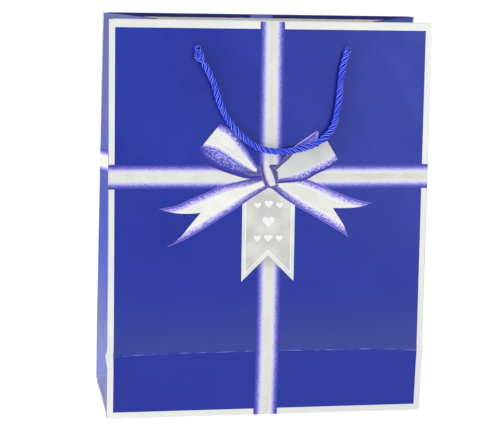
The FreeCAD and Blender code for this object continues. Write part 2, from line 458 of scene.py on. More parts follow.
def gusset_print_and_sheen(name, top):
    """The same print on a gusset, paler towards the mouth as painted sheen, where its sheet faces the light. The
    tray's sides use it too, with its facets in darker tones as painted shade and a painted highlight along the
    first fold line.
    UV is along the side and up from the crease, in metres."""
    s = Shader(name, Roughness=0.36, Specular_IOR_Level=0.19)
    flat = s.flat()
    x, up = s.parts(flat)
    low = s.mix(s.span(s.noise(flat, 18, 3), 0.3, 0.7), rgb(14, 40, 156), rgb(30, 54, 168))
    # Painted sheen: the colour turns to top, a paler blue, towards the mouth.
    colour = s.mix(s.span(up, 40 * MM, 240 * MM), low, top)
    back = s.math("DIVIDE", s.plus(x, HALF_D), 2 * HALF_D)
    height = s.plus(up, CREASE)
    first = s.minus(s.minus(FACET_TOP, s.times(back, FACET_TOP - FACET_FOOT)), height)
    second = s.minus(s.minus(FACET_LOW, s.times(back, 2 * FACET_LOW)), height)
    # Painted shade: each facet of the tray's side gets its own darker tone, as each faces the light differently.
    colour = s.mix(s.span(first, 0.0, 0.8 * MM), colour, s.mix(back, rgb(22, 36, 136), rgb(46, 54, 158)))
    colour = s.mix(s.span(second, 0.0, 0.8 * MM), colour, rgb(58, 52, 138))
    # Painted highlight along the first fold line.
    fold = s.span(s.size(first), 0.2 * MM, 0.9 * MM, 0.26, 0.0)
    s.colour(s.mix(fold, colour, BLUE_LIGHT))
    s.bump(s.noise(flat, 900, 3), 0.02 * MM, 0.5)
    return s.material


def white_paper():
    """Uncoated inside of the sheet: matte, with faint fibres."""
    s = Shader("white_paper", Roughness=0.85, Specular_IOR_Level=0.25)
    flat = s.flat()
    fibres = s.noise(s.scaled(flat, 1, 0.35), 1600, 4, 0.4)
    s.colour(s.mix(s.span(fibres, 0.3, 0.7), rgb(226, 226, 228), rgb(243, 243, 244)))
    s.bump(fibres, 0.03 * MM, 0.6)
    return s.material


TURN_LENGTH = STACK / 2 * math.pi     # round a turn-in's fold, to its inner face
TURN_BAND = 2.5 * MM                  # of the blue print goes on down the inner face


def turned_in(name, over_fold):
    """The turn-in: over_fold runs over the top, then a blue printed band with the ribbon's end, then white paper.
    The band is a duller blue than the print and the ribbon's end is light blue rather than silver, as painted
    shade in the mouth.
    UV is across, and down from the fold's outer side, in metres."""
    s = Shader(name, Roughness=0.55, Specular_IOR_Level=0.3)
    flat = s.flat()
    x, down = s.parts(flat)
    down = s.plus(down, s.times(s.noise(s.scaled(flat, 90, 0), 1, 3), 0.8 * MM))
    # Painted shade: the ribbon's end is light blue and the band a dull dark blue, as they lie in the mouth's
    # shade.
    ribbon = s.span(s.size(x), 7.5 * MM, 10.5 * MM, 1.0, 0.0)
    band = s.mix(ribbon, rgb(40, 44, 116), BLUE_LIGHT)
    fibres = s.noise(s.scaled(flat, 1, 0.35), 1600, 4, 0.4)
    white = s.mix(s.span(fibres, 0.3, 0.7), rgb(228, 228, 226), rgb(244, 244, 242))
    band_end = TURN_LENGTH + TURN_BAND
    colour = s.mix(s.span(down, band_end, band_end + 0.4 * MM), band, white)
    s.colour(s.mix(s.span(down, TURN_LENGTH - 0.1 * MM, TURN_LENGTH + 0.3 * MM), over_fold, colour))
    s.bump(fibres, 0.03 * MM, 0.5)
    return s.material


def silver_foil():
    """Pearly silver print with a faint drift of warm, green and pink tints, and painted shade that greys it
    towards the right.
    """
    s = Shader("silver_foil", Roughness=0.36, Metallic=0.2, Specular_IOR_Level=0.4)
    flat = s.flat()
    drift = s.noise(flat, 22, 2)
    tint = s.mix(s.span(drift, 0.38, 0.5), rgb(227, 226, 220), rgb(219, 222, 217))
    tint = s.mix(s.span(drift, 0.52, 0.66), tint, rgb(222, 219, 222))
    # Painted shade: greyer towards the right.
    tint = s.mix(s.span(s.parts(flat)[0], -0.6 * HALF_W, HALF_W, 0.0, 0.4), tint, rgb(196, 199, 196))
    grain = s.noise(flat, 2600, 2)
    s.colour(s.mix(s.span(grain, 0.25, 0.75, 0.0, 0.2), tint, rgb(240, 241, 238)))
    s.roughness(s.span(grain, 0.3, 0.7, 0.3, 0.46))
    s.bump(grain, 0.015 * MM, 0.5)
    return s.material


WHITE_CORE = rgb(232, 232, 227)
# Colours across a printed ribbon from its glitter edge inwards, where 1 is the width of the glitter's band
STRAIGHT = [(0.0, rgb(40, 48, 150)), (0.12, rgb(58, 60, 164)), (0.3, rgb(78, 76, 184)),
            (0.43, rgb(100, 96, 198)), (0.55, rgb(140, 138, 214)), (0.68, rgb(178, 178, 226)),
            (0.8, rgb(204, 205, 228)), (1.0, SILVER)]
LOOSE = [(0.0, rgb(132, 126, 228)), (0.07, rgb(132, 126, 228)), (0.1, rgb(52, 44, 144)),
         (0.16, rgb(56, 48, 150)), (0.21, rgb(116, 106, 218)), (0.45, rgb(148, 140, 226)),
         (0.72, rgb(198, 195, 238)), (1.0, WHITE_CORE)]
DEEP = [(0.0, rgb(90, 84, 190)), (0.06, rgb(44, 36, 134)), (0.3, rgb(58, 50, 172)), (0.5, rgb(84, 74, 204)),
        (0.66, rgb(126, 118, 230)), (0.84, rgb(190, 188, 230)), (1.0, rgb(208, 210, 207))]
UNDER = [(0.0, rgb(64, 56, 160)), (0.07, rgb(38, 32, 120)), (0.18, rgb(54, 50, 166)),
         (0.45, rgb(64, 62, 198)), (0.62, rgb(98, 94, 222)), (0.74, rgb(160, 154, 242)),
         (0.8, rgb(206, 203, 248))]
TIP = [(0.0, rgb(176, 168, 244)), (0.1, rgb(176, 168, 244)), (0.16, rgb(60, 52, 160)),
       (0.26, rgb(96, 86, 206)), (0.5, rgb(134, 124, 232)), (0.8, rgb(170, 162, 242))]
SHADE = [(0.0, rgb(96, 88, 190)), (0.45, rgb(62, 54, 146)), (1.0, rgb(46, 40, 108))]
KNOT = [(0.0, rgb(150, 144, 206)), (0.45, rgb(196, 194, 222)), (0.8, rgb(220, 220, 222)),
        (1.0, rgb(222, 223, 219))]
CREASED = [(0.0, rgb(214, 216, 208)), (0.3, rgb(218, 219, 212)), (0.9, WHITE_CORE)]
GLITTER_CELLS = 1650      # speckles a metre


def glitter_print(name, stops, stipple=0.6, paling=1.0, dark_band=0.0, faded=None, shadow=None):
    """Printed ribbon: silver down the middle, speckled glitter towards its edges.
    UV is the distance from a glitter edge, where 1 is the width of its band, and the distance along in metres.
    stipple is the speckles' strength, and paling is how fast they turn from violet to pale inwards. dark_band is
    how far out from the knot the glitter is darker. faded and shadow are the stretches along which the ribbon
    dissolves into the blue, and lies in the tag's soft shadow."""
    s = Shader(name, Roughness=0.42, Metallic=0.1, Specular_IOR_Level=0.35)
    inset, along = s.parts(s.flat())
    place = s.place()
    fine = s.noise(place, 1100, 2)
    in_band = s.span(inset, 0.85, 1.05, 1.0, 0.0)
    waver = s.times(s.minus(fine, 0.5), s.span(inset, 0.1, 0.5, 0.0, 0.3))
    colour = s.ramp(s.plus(inset, s.times(waver, in_band)), stops)
    if stipple:
        dots = s.span(s.minus(s.cells(place, GLITTER_CELLS), s.times(inset, paling)), -0.06, 0.06)
        speckle = s.mix(dots, rgb(218, 214, 250), rgb(56, 48, 158))
        colour = s.mix(s.times(in_band, s.span(inset, 0.2, 0.35, 0.0, stipple)), colour, speckle)
    if dark_band:
        near = s.times(s.span(along, 0.0, dark_band, 0.75, 0.0), s.span(inset, 0.6, 1.0, 1.0, 0.0))
        colour = s.mix(near, colour, rgb(52, 44, 140))
    # Grey on the silver middle: a random tone, and painted shade that grows towards the right.
    tone_and_painted_shade = s.plus(s.span(s.noise(place, 60, 2), 0.35, 0.68, 0.0, 0.16),
                  s.span(s.parts(place)[0], -15 * MM, 60 * MM, 0.0, 0.2))
    colour = s.mix(s.times(tone_and_painted_shade, s.span(inset, 0.9, 1.3)), colour, rgb(160, 160, 152))
    if faded:
        ragged = s.plus(along, s.times(s.minus(fine, 0.5), 10 * MM))
        colour = s.mix(s.span(ragged, *faded, 0.0, 0.85), colour, BLUE)
    if shadow:
        low, high = shadow
        shade = s.times(s.span(along, low, high, 0.0, 0.55), s.span(along, high, high + 1 * MM, 1.0, 0.0))
        colour = s.mix(shade, colour, rgb(128, 130, 132))
    s.colour(colour)
    s.bump(fine, 0.03 * MM, 0.5)
    return s.material


def tag_print(name, dull, bright):
    """A tag's silver-grey print, with a soft drift between two tones."""
    s = Shader(name, Roughness=0.36, Metallic=0.2, Specular_IOR_Level=0.4)
    flat = s.flat()
    drift = s.noise(flat, 45, 2)
    tint = s.mix(s.span(drift, 0.35, 0.65), dull, bright)
    grain = s.noise(flat, 2400, 2)
    s.colour(s.mix(s.span(grain, 0.3, 0.7, 0.0, 0.2), tint, rgb(236, 238, 238)))
    s.bump(grain, 0.012 * MM, 0.5)
    return s.material


def plain_print(name, colour):
    s = Shader(name, Roughness=0.35, Specular_IOR_Level=0.4)
    grain = s.noise(s.flat(), 2200, 2)
    s.colour(s.mix(s.span(grain, 0.3, 0.7, 0.0, 0.18), colour, rgb(255, 255, 255)))
    return s.material


def card_board():
    """Unprinted white board, used on CAD pieces that have no UV."""
    s = Shader("card_board", Roughness=0.8, Specular_IOR_Level=0.25)
    fibres = s.noise(s.place(), 900, 4, 0.5)
    s.colour(s.mix(s.span(fibres, 0.3, 0.7), rgb(206, 205, 202), rgb(228, 227, 224)))
    s.bump(fibres, 0.05 * MM, 0.6)
    return s.material


def rope_fibre():
    """Shiny rayon cord: yarns run along each strand, with painted shade where a strand meets the next one and in
    the yarns' hollows, and painted highlights on their crests. UV is round the strand, where 0 and 1 face out of
    the rope, and along it in metres."""
    s = Shader("rope_fibre", Roughness=0.35, Specular_IOR_Level=0.2)
    flat = s.flat()
    around, along = s.parts(flat)
    slant = s.plus(s.times(around, YARNS), s.math("DIVIDE", along, 2 * math.pi * YARN_LAY))
    yarn = s.plus(s.times(s.math("COSINE", s.times(slant, 2 * math.pi)), 0.5), 0.5)
    fuzz = s.noise(s.scaled(flat, 40, 700), 1, 3)
    height = s.plus(s.times(yarn, 0.75), s.times(fuzz, 0.35))
    # Painted shade in the yarns' hollows and a painted highlight on their crests.
    colour = s.mix(s.span(height, 0.2, 0.65), rgb(0, 8, 176), rgb(2, 40, 252))
    colour = s.mix(s.span(height, 0.68, 0.98), colour, rgb(158, 184, 255))
    # Painted shade where a strand meets the next one.
    inwards = s.minus(0.5, s.size(s.minus(around, 0.5)))
    s.colour(s.mix(s.span(inwards, 0.16, 0.27), colour, rgb(0, 3, 112)))
    s.bump(height, 0.1 * MM, 0.8)
    return s.material


# ---- sheet pieces

SHEET_XS = spread((-HALF_W, 2), (-HALF_W + 1.2 * MM, 8), (-HALF_W + 14 * MM, 46), (HALF_W - 14 * MM, 8),
                  (HALF_W - 1.2 * MM, 2), HALF_W)
SHEET_UPS = spread((-CREASE, 4), (-CREASE + 3.2 * MM, 7), (-11 * MM, 6), (-1.5 * MM, 3), (0, 3), (1.5 * MM, 6),
                   (6 * MM, 52), (WALL_H - 2 * MM, 2), WALL_H - STACK / 2)
HINGE_HALF = 1.2 * MM


def within(values, low, high):
    """The grid's own values between two limits, with the limits themselves."""
    margin = 0.3 * MM
    return [low] + [v for v in values if low + margin < v < high - margin] + [high]


def wall_name(side):
    return "front" if side == FRONT else "rear"


def hand_name(hand):
    return "left" if hand < 0 else "right"


def gusset_name(hand, side):
    return f"{hand_name(hand)}_gusset_{wall_name(side)}"


def across_crease(obj, side):
    """Bakes the piece's place into its mesh. The piece is bent at the crease, with the wall above it and the tray
    below.
    """
    start = wall_point(side, 0, -HINGE_HALF)
    end = wall_point(side, 0, HINGE_HALF)
    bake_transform(obj)


def wall_sheet(side, blue, white):
    name = wall_name(side)
    obj = slab(f"{name}_sheet", [wall_grid(side, SHEET_XS, SHEET_UPS, 0)], PAPER, [blue, white, blue])
    punch(obj, side)
    stand_for(obj, "printed_paper", None, f"{name}_panel_upper", f"{name}_panel_lower")
    across_crease(obj, side)


def fold_profile(top, stack, length):
    """(depth, up, down) round the inside of a top fold: down is measured along it from its outer side."""
    radius = stack / 2
    turn = [math.pi * i / 8 for i in range(9)]
    profile = [(radius - radius * math.cos(a), top - radius + radius * math.sin(a), radius * a) for a in turn]
    run = [length * i / 12 for i in range(1, 13)]
    return profile + [(stack, top - radius - r, radius * math.pi + r) for r in run]


TURN_TAPER = 3 * MM       # how far each end of a turn-in's inner face draws in, to clear the gussets


def tapered(x, depth):
    """Position across a turn-in at a depth behind the wall's face."""
    near_end = smooth((abs(x) - HALF_W + 14 * MM) / (12 * MM))
    return x - math.copysign(TURN_TAPER * depth / STACK * near_end, x)


def turn_in(side, inner, white):
    """The top of the sheet, over the card and down inside."""
    name = wall_name(side)
    profile = fold_profile(WALL_H, STACK, TURN_IN_H - STACK / 2)
    xs = [x for x in reversed(SHEET_XS) if abs(x) < HALF_W - 2 * MM]
    points = [[wall_point(side, tapered(x, depth), up, relief(side, x, min(up, WALL_H - STACK / 2)) - depth)
               for x in xs] for depth, up, down in profile]
    uvs = [[(x, down) for x in xs] for depth, up, down in profile]
    obj = slab(f"{name}_turned_in_top", [(points[::-1], uvs[::-1])], PAPER, [inner, white, white])
    punch(obj, side)
    stand_for(obj, "white_paper", f"{name}_wall", f"{name}_turn_in")


def bend_gusset(obj):
    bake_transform(obj)


def gusset_grid(hand, side, acrosses, ups, depth):
    """Grid of a gusset half, with the outside of the bag as its outer face."""
    flip = hand * side > 0
    order = acrosses if flip else acrosses[::-1]
    points = [[gusset_point(hand, side, q, up, depth(up)) for q in order] for up in ups]
    uvs = [[(q * HALF_D, up) for q in order] for up in ups]
    return points, uvs


GUSSET_ACROSSES = spread((0.0, 18), 1.0)
LAP_LENGTH = 3 * MM       # a gusset half's foot goes on down this far behind the tray's side
LAP_DEPTH = 0.5 * MM


def gusset_half(hand, side, blue, white):
    name = gusset_name(hand, side)
    ups = spread((-LAP_LENGTH, 3), (0.0, 54), (WALL_H - 1 * MM, 1), WALL_H - PAPER)
    grid = gusset_grid(hand, side, GUSSET_ACROSSES, ups, lambda up: LAP_DEPTH if up < 0 else 0.0)
    obj = slab(f"{name}_sheet", [grid], PAPER, [blue, white, blue])
    stand_for(obj, "printed_paper", None, f"{name}_half")
    bend_gusset(obj)


def gusset_turn_in(hand, side, inner, white):
    name = gusset_name(hand, side)
    profile = fold_profile(WALL_H, 2 * PAPER, TURN_IN_H - PAPER)
    order = spread((0.07, 16), 0.985)
    if hand * side > 0:
        order = order[::-1]
    points = [[gusset_point(hand, side, q, up, depth) for q in order] for depth, up, down in profile]
    fold_length = math.pi * PAPER
    uvs = [[(HALF_W, down - fold_length + TURN_LENGTH) for q in order] for depth, up, down in profile]
    obj = slab(f"{name}_turned_in_top", [(points[::-1], uvs[::-1])], PAPER, [inner, white, white])
    stand_for(obj, "white_paper", None, f"{name}_turn_in")
    bend_gusset(obj)


TUCKED = 2.0 * MM         # how far the base's side edges are pushed in at their middle


def corner_share(p, a, b, c):
    """Barycentric share of corner a at p in the triangle a, b, c."""
    area = (b[0] - a[0]) * (c[1] - a[1]) - (c[0] - a[0]) * (b[1] - a[1])
    shares = [((v[0] - p[0]) * (w[1] - p[1]) - (w[0] - p[0]) * (v[1] - p[1])) / area
              for v, w in ((b, c), (c, a), (a, b))]
    return shares[0] if min(shares) > -1e-6 else 0.0


def lower_gusset_point(hand, along, up):
    """Side of the tray, along from the front fold to the rear one. Its fold lines leave three shallow facets."""
    z = CREASE + up
    foot, top, rear = (FACET_FOOT, 0.0), (-HALF_D, FACET_TOP), (HALF_D, FACET_FOOT)
    p = (along, z)
    share = max(corner_share(p, foot, top, rear), corner_share(p, foot, (-HALF_D, 0.0), top),
                corner_share(p, foot, rear, (HALF_D, 0.0)))
    side = FRONT if along < 0 else REAR
    shift = edge_shift(side, hand, up) * smooth((abs(along) - (HALF_D - CORNER)) / CORNER)
    return Vector((hand * (HALF_W - TUCKED * share + shift), along, z))


def lower_gusset(hand, blue, white):
    name = hand_name(hand)
    ups = spread((-CREASE, 4), (-CREASE + 3.2 * MM, 24), 0.0)
    alongs = spread((-HALF_D, 6), (-HALF_D + CORNER, 36), (HALF_D - CORNER, 6), HALF_D)
    order = alongs if hand > 0 else alongs[::-1]
    points = [[lower_gusset_point(hand, y, up) for y in order] for up in ups]
    uvs = [[(y, up) for y in order] for up in ups]
    obj = slab(f"{name}_tray_side", [(points, uvs)], PAPER, [blue, white, blue])
    stand_for(obj, "printed_paper", "tray", f"{name}_gusset_lower")


# ---- printed artwork

RIBBON_W = 19.6 * MM
RIBBON_X = -0.4 * MM
RIBBON_UP = 146.2 * MM
GLITTER_BAND = 6.6 * MM
BORDER_SIDE = 4.9 * MM
BORDER_TOP = 6.5 * MM
BORDER_BOTTOM = 5.2 * MM


def printed(name, side, grids, materials, slot, body=None):
    obj = slab(name, grids, PRINT_THICKNESS, materials)
    stand_for(obj, slot, body)
    if not body:
        across_crease(obj, side)


def border(side, foil):
    top = SHEET_UPS[-1]
    left = spread((-HALF_W, 3), -HALF_W + BORDER_SIDE)
    right = [-x for x in reversed(left)]
    middle = within(SHEET_XS, -HALF_W + BORDER_SIDE, HALF_W - BORDER_SIDE)
    strips = [(left, SHEET_UPS), (right, SHEET_UPS),
              (middle, spread((WALL_H - BORDER_TOP, 3), top)),
              (middle, spread((-CREASE, 3), -CREASE + BORDER_BOTTOM))]
    grids = [wall_grid(side, xs, ups, BORDER_LAYER) for xs, ups in strips]
    printed(f"{wall_name(side)}_border", side, grids, [foil], "silver_foil")


def ribbon_inset(offset):
    """Distance from the nearer edge of a straight ribbon, in glitter bands."""
    return (RIBBON_W / 2 - abs(offset)) / GLITTER_BAND


RIBBON_OFFSETS = spread((-RIBBON_W / 2, 10), RIBBON_W / 2)


def ribbon_cross(side, ribbon):
    name = wall_name(side)
    points = wall_grid(side, [RIBBON_X + o for o in RIBBON_OFFSETS], SHEET_UPS, UPRIGHT_LAYER)[0]
    uvs = [[(ribbon_inset(o), up) for o in RIBBON_OFFSETS] for up in SHEET_UPS]
    printed(f"{name}_upright_ribbon", side, [(points, uvs)], [ribbon], "silver_foil")
    points = wall_grid(side, SHEET_XS, [RIBBON_UP + o for o in RIBBON_OFFSETS], LEVEL_LAYER)[0]
    uvs = [[(ribbon_inset(o), x + 2 * HALF_W) for x in SHEET_XS] for o in RIBBON_OFFSETS]
    printed(f"{name}_level_ribbon", side, [(points, uvs)], [ribbon], "silver_foil", f"{name}_wall")


def gusset_ribbon(hand, side, ribbon):
    ups = [RIBBON_UP + o for o in RIBBON_OFFSETS]
    points, flat = gusset_grid(hand, side, GUSSET_ACROSSES, ups, lambda up: -2 * LAYER)
    uvs = [[(ribbon_inset(o), 2 * HALF_W + uv[0]) for uv in row] for o, row in zip(RIBBON_OFFSETS, flat)]
    obj = slab(f"{gusset_name(hand, side)}_ribbon", [(points, uvs)], PRINT_THICKNESS, [ribbon])
    stand_for(obj, "silver_foil", None)
    bend_gusset(obj)


def curve_through(points, steps):
    """Smooth line through points: a Catmull-Rom curve sampled evenly by point number."""
    points = [Vector(p) * MM for p in points]
    ends = [points[0] * 2 - points[1]] + points + [points[-1] * 2 - points[-2]]
    line = []
    for i in range(steps + 1):
        place = i / steps * (len(points) - 1)
        k = min(int(place), len(points) - 2)
        t = place - k
        a, b, c, d = ends[k:k + 4]
        line.append(0.5 * (2 * b + (c - a) * t + (2 * a - 5 * b + 4 * c - d) * t * t
                           + (3 * b - a - 3 * c + d) * t ** 3))
    return line


BAND_SHARE = 0.36         # a glitter band takes up no more than this share of a ribbon's width
COVERED = 0.8             # the far edge's inset where one band covers the whole ribbon
BARE = 3.0                # the inset where there is no glitter


def glitter_inset(across, width, bands):
    """Distance from the nearer glitter edge of a loose ribbon, in glitter bands, at a share of its width."""
    insets = []
    for distance, band in ((across, bands[0]), (1 - across, bands[1])):
        if band and band < width:
            insets.append(distance * width / min(band, BAND_SHARE * width + 0.001 * MM))
        elif band:
            insets.append(distance * COVERED)
    return min(insets) if insets else BARE


def strip(side, left, right, layer, fork, bands):
    """A printed ribbon between two edges, from the knot outwards. left and right are as seen looking from the
    start to the end. bands are their glitter edges' widths, or 0. A fork is its depth as a share of the length,
    and how sharply its left and right points narrow."""
    steps, columns = 40, 16
    first, last = curve_through(left, steps), curve_through(right, steps)
    points, uvs = [], []
    for i in range(steps + 1):
        row, flat = [], []
        for c in range(columns + 1):
            across = c / columns
            place = i
            if fork:
                depth, *sharpness = fork
                place = i * (1 - depth * (1 - abs(2 * across - 1)) ** sharpness[across >= 0.5])
            k = min(int(place), steps - 1)
            a = first[k].lerp(first[k + 1], place - k)
            b = last[k].lerp(last[k + 1], place - k)
            p = a.lerp(b, across)
            row.append(print_point(side, p.x, p.y, layer))
            from_knot = (p - (first[0] + last[0]) / 2).length
            flat.append((glitter_inset(across, (b - a).length, bands), from_knot))
        points.append(row)
        uvs.append(flat)
    return [row[::-1] for row in points][::-1], [row[::-1] for row in uvs][::-1]


# The bow's parts, in millimetres across and up the wall: their left and right edges from the knot outwards,
# layer, fork, glitter bands and print. A band of WHOLE covers the whole part.
WHOLE = 1000
BOW = {
    "left_loop_back": (
        [(-5, 145.4), (-19, 144.8), (-34, 148.9), (-46, 153.5), (-54.2, 158.4), (-58.3, 163), (-58.9, 166.9)],
        [(-5, 150.5), (-19, 154.5), (-34.5, 163), (-48, 170), (-56.6, 171)],
        6, None, (WHOLE, 0), "under"),
    "left_loop_shade": (
        [(-5, 147.2), (-13, 146.9), (-18.5, 147.7), (-25, 151.4)],
        [(-5, 149.6), (-12, 150.4), (-18.6, 151.2), (-25, 152.6)],
        7, None, (1.6, 1.0), "shade"),
    "left_loop": (
        [(-4.6, 148.2), (-9, 148.7), (-16, 149.6), (-22.5, 152.6), (-30.3, 158), (-38, 163.2), (-46, 167.6),
         (-56.3, 170.2)],
        [(-4.4, 148.4), (-7.8, 150.4), (-11.6, 155.2), (-16.4, 162.6), (-22.7, 171.4), (-29, 179.6),
         (-34.9, 185), (-42, 188)],
        8, None, (3.4, 5.6), "loop"),
    "left_loop_fold": (
        [(-15.6, 153.6), (-29.5, 163.5), (-46, 175)],
        [(-15.4, 153.9), (-27.4, 166.2), (-45.8, 175.3)],
        9, None, (WHOLE, 0), "creased"),
    "right_loop_back": (
        [(8, 158), (18.1, 170), (29.6, 178.2), (36.8, 183)],
        [(12, 160), (24, 168), (36.4, 174), (38.2, 182.4)],
        6, None, (WHOLE, 0), "tip"),
    "right_loop_shade": (
        [(2.6, 153.2), (7.7, 158.9), (12.3, 163.1), (17.4, 166.6)],
        [(4.8, 151.2), (8.9, 155.4), (13.6, 160.6), (19.6, 165.4)],
        7, None, (1.6, 0.6), "shade"),
    "right_loop": (
        [(3, 150.5), (9, 156), (14.8, 161), (19.5, 165.3), (33.3, 169.5), (45.5, 175)],
        [(2.5, 140.4), (12.2, 141.4), (24.5, 142.6), (30.5, 144.4), (37, 148.2), (44.5, 151.4),
         (50.2, 154.4), (55.3, 158.8)],
        9, None, (0, 8.0), "deep"),
    "left_tail": (
        [(-2, 137.6), (-14, 130.2), (-22.7, 124.2), (-37.4, 115), (-50.1, 107), (-63.4, 99.1), (-72.7, 94.5),
         (-83.6, 90.1)],
        [(-4, 146), (-14.2, 145), (-23, 143.2), (-37.7, 139.7), (-51.7, 133.8), (-64.4, 128.5),
         (-76.3, 123.3), (-89.8, 120.7)],
        8, (0.37, 0.6, 1.1), (6.2, 6.2), "tail"),
    "right_tail": (
        [(2.5, 141.4), (15, 143.3), (25, 144.2), (31.3, 143.4), (42.1, 139), (52.9, 134.1), (65.5, 129.1),
         (77.2, 125.6), (84, 124.5)],
        [(-4, 139), (2, 135.9), (10.2, 129.4), (20.2, 122.9), (32.7, 116.2), (45.2, 108.8), (57.8, 101.4),
         (64.9, 96.9)],
        8, (0.31, 0.8, 0.75), (6.2, 6.2), "tail"),
    "knot_left_shade": (
        [(-4.6, 138.6), (-6.6, 142.6), (-8.6, 148.8), (-9.2, 154.4)],
        [(-0.6, 138), (-3, 142.6), (-5, 148.8), (-6.4, 155.4)],
        10, None, (2.0, 1.0), "shade"),
    "knot": (
        [(-0.8, 138.2), (-3.4, 142.6), (-5.5, 148.8), (-6.5, 155), (-6.6, 161)],
        [(4.2, 139.6), (2.6, 145.2), (0.4, 150.6), (-0.9, 154.4), (-0.4, 161)],
        11, None, (2.2, 0.8), "knot"),
    "knot_hook": (
        [(3.8, 140), (2.4, 145.4), (0.4, 150.2), (-0.6, 152.4), (-2.2, 154.4)],
        [(5, 140.6), (5.8, 144.4), (5.6, 148.8), (3.6, 153), (-1.4, 155)],
        12, None, (1.4, 1.4), "shade"),
    "knot_foot": (
        [(-6.2, 141.6), (-3.4, 138.4), (0.6, 137), (6.2, 138.8)],
        [(-5.4, 143), (-2.6, 139.8), (0.8, 138.6), (5.8, 140.4)],
        12, None, (0.9, 0.9), "shade"),
}


def bow(side, looks):
    """The printed bow over the ribbons' crossing."""
    name = wall_name(side)
    for part, (left, right, layer, fork, bands, look) in BOW.items():
        bands = tuple(band * MM for band in bands)
        slot = "blue_glitter" if look in ("under", "tip", "shade") else "silver_foil"
        grid = strip(side, left, right, layer, fork, bands)
        printed(f"{name}_bow_{part}", side, [grid], [looks[look]], slot, f"{name}_wall")


TAG_LEFT, TAG_RIGHT = -22.8 * MM, 20.0 * MM
TAG_TOP = 139 * MM
TAG_TIPS = 61.4 * MM      # the height of its two lower tips
TAG_NOTCH = 21.3 * MM     # and from them up to the notch between
TAG_LINE = 0.6 * MM
TAG_LINE_INSET = 2.7 * MM


def tag_face(side, margin, layer):
    """The tag's outline taken in by a margin, as one grid with a forked foot."""
    left, right = TAG_LEFT + margin, TAG_RIGHT - margin
    middle = (left + right) / 2
    slope = 2 * TAG_NOTCH / (TAG_RIGHT - TAG_LEFT)
    foot = TAG_TIPS + margin * (math.sqrt(1 + slope ** 2) + slope)
    xs = spread((left, 12), (middle, 12), right)
    points, uvs = [], []
    steps = 16
    for i in range(steps + 1):
        ups = [foot + slope * min(x - left, right - x) for x in xs]
        ups = [low + (TAG_TOP - low) * i / steps for low in ups]
        points.append([print_point(side, x, up, layer) for x, up in zip(xs, ups)])
        uvs.append(list(zip(xs, ups)))
    return points, uvs


def half_heart(side, x0, up0, size, hand, layer):
    """One half of a plain heart, between its axis and its outline."""
    points, uvs = [], []
    steps, columns = 18, 5
    margin = 0.05             # of the outline's turn left out at each end, where the half would close to a point
    for i in range(steps + 1):
        a = margin + (math.pi - 2 * margin) * i / steps
        edge_x = hand * size * math.sin(a) ** 3
        edge_up = size * (13 * math.cos(a) - 5 * math.cos(2 * a) - 2 * math.cos(3 * a) - math.cos(4 * a)) / 16
        axis_up = size * (5 - 22 * i / steps) / 16
        row = [(x0 + edge_x * c / columns, up0 + axis_up + (edge_up - axis_up) * c / columns)
               for c in range(columns + 1)]
        if hand > 0:
            row.reverse()
        points.append([print_point(side, x, up, layer) for x, up in row])
        uvs.append(row)
    return points, uvs


# Plain hearts in three rows: centre across and up the wall, and half width, in millimetres
HEARTS = [(-10.4, 123.4, 2.9), (-1.4, 124.4, 3.4), (7.6, 123.4, 2.9), (-1.4, 110.2, 5.0),
          (-10.4, 96.6, 2.9), (-1.4, 97.0, 3.4), (7.6, 96.6, 2.9)]


def tag(side, rim, face, line, mark):
    name = wall_name(side)
    hearts = [half_heart(side, x * MM, up * MM, size * MM, hand, TAG_LAYER + 3)
              for x, up, size in HEARTS for hand in (-1, 1)]
    for part, grids, material in (("", [tag_face(side, 0.0, TAG_LAYER)], rim),
                                  ("_line", [tag_face(side, TAG_LINE_INSET, TAG_LAYER + 1)], line),
                                  ("_face", [tag_face(side, TAG_LINE_INSET + TAG_LINE, TAG_LAYER + 2)], face),
                                  ("_hearts", hearts, mark)):
        printed(f"{name}_tag{part}", side, grids, [material], "silver_foil", f"{name}_wall")


# ---- rope

ROPE_D = 5.2 * MM
STRANDS = 3
STRAND_RADIUS = ROPE_D * 0.25
STRAND_SIDES = 28
LAY_RADIUS = ROPE_D / 2 - STRAND_RADIUS
TWIST_PITCH = 15 * MM
YARNS = 5                 # lobes round each strand
YARN_RIDGE = 0.09         # their height as a share of the strand's radius
YARN_LAY = 4.5 * MM       # how fast they turn along it, per radian
OPENING = 15 * MM         # length over which one strand stands off where the rope leaves a hole
STAND_OFF = 3.0 * MM      # and how far it does
HOLE_SWELL = 1.14         # a knot's rope is thicker where it leaves the hole
HOLE_SWELL_LENGTH = 8 * MM
TIP_LENGTH = 1.2 * MM     # over which its front end rounds off

# The hanging handle's route in millimetres: across, up the wall from the crease, and out from its face
HANDLE_ROUTE = [
    (-60.2, 247.5, 4), (-56, 237, 4), (-47.5, 221.5, 4.2), (-43, 205, 4.6), (-36, 191, 5), (-23.5, 177, 5.5),
    (-9, 168, 6), (8, 166.3, 6), (24.5, 169, 6), (37.5, 173.5, 5.5), (50, 185, 5), (53.5, 204.5, 4.6),
    (54.8, 221.5, 4.2), (56.4, 236.5, 4), (60.2, 247.5, 4)]

# Through the hole, once round itself behind the wall, and out into a short tail, in millimetres from the hole
KNOT_ROUTE = [
    (0, 0, 4.6), (0, 0, 2), (0, 0, -3), (0.4, -0.6, -8), (4, -2.6, -10.6), (6.4, 2.2, -9), (3, 6.2, -6.4),
    (-3.6, 5.6, -5.6), (-6.4, 0, -5.6), (-3.4, -5.4, -6.4), (2.2, -6.4, -9), (2.6, -1.6, -13), (-1.6, -3, -15),
    (-4, -10, -12), (-5.4, -17, -8.4)]


